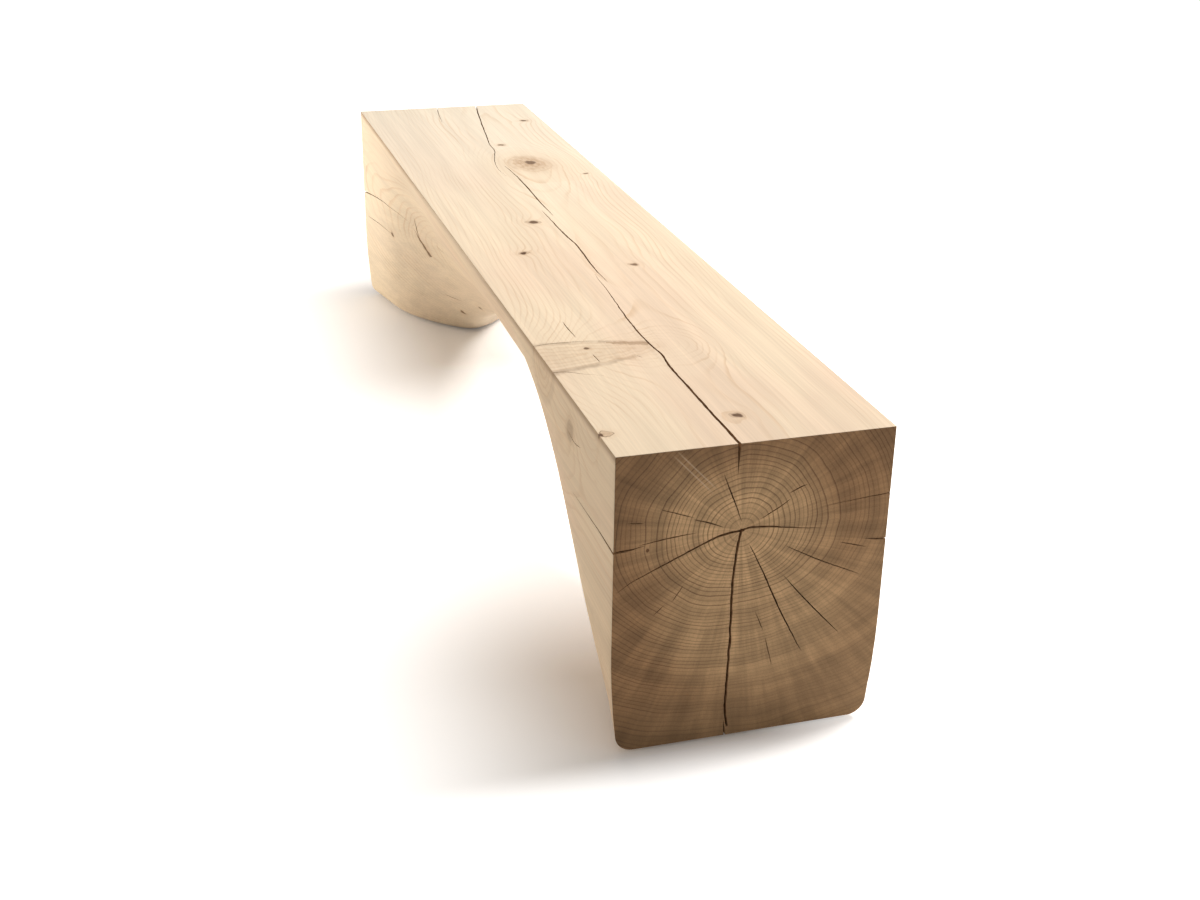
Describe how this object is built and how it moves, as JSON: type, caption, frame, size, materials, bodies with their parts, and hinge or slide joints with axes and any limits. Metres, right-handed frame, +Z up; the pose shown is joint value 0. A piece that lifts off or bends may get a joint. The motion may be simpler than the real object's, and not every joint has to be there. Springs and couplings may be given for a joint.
{
  "type": "curved bench",
  "caption": "Long solid timber bench with a flat seat, square ends and a hollowed saddle-shaped underside that leaves a rounded foot at each end, on felt glides.",
  "frame": {"origin": "on the floor, under the middle of the bench", "axes": "+X along the length, +Y across the seat, +Z up"},
  "size_m": [2, 0.39, 0.45],
  "materials": {
    "timber": "bare sanded softwood",
    "glide_plastic": "moulded black",
    "felt": "pressed felt"
  },
  "bodies": {
    "root": {"bench_block": "timber", "glide_cap_1": "glide_plastic", "glide_cap_2": "glide_plastic", "glide_cap_3": "glide_plastic", "glide_cap_4": "glide_plastic", "glide_felt_1": "felt", "glide_felt_2": "felt", "glide_felt_3": "felt", "glide_felt_4": "felt"}
  },
  "joints": []
}
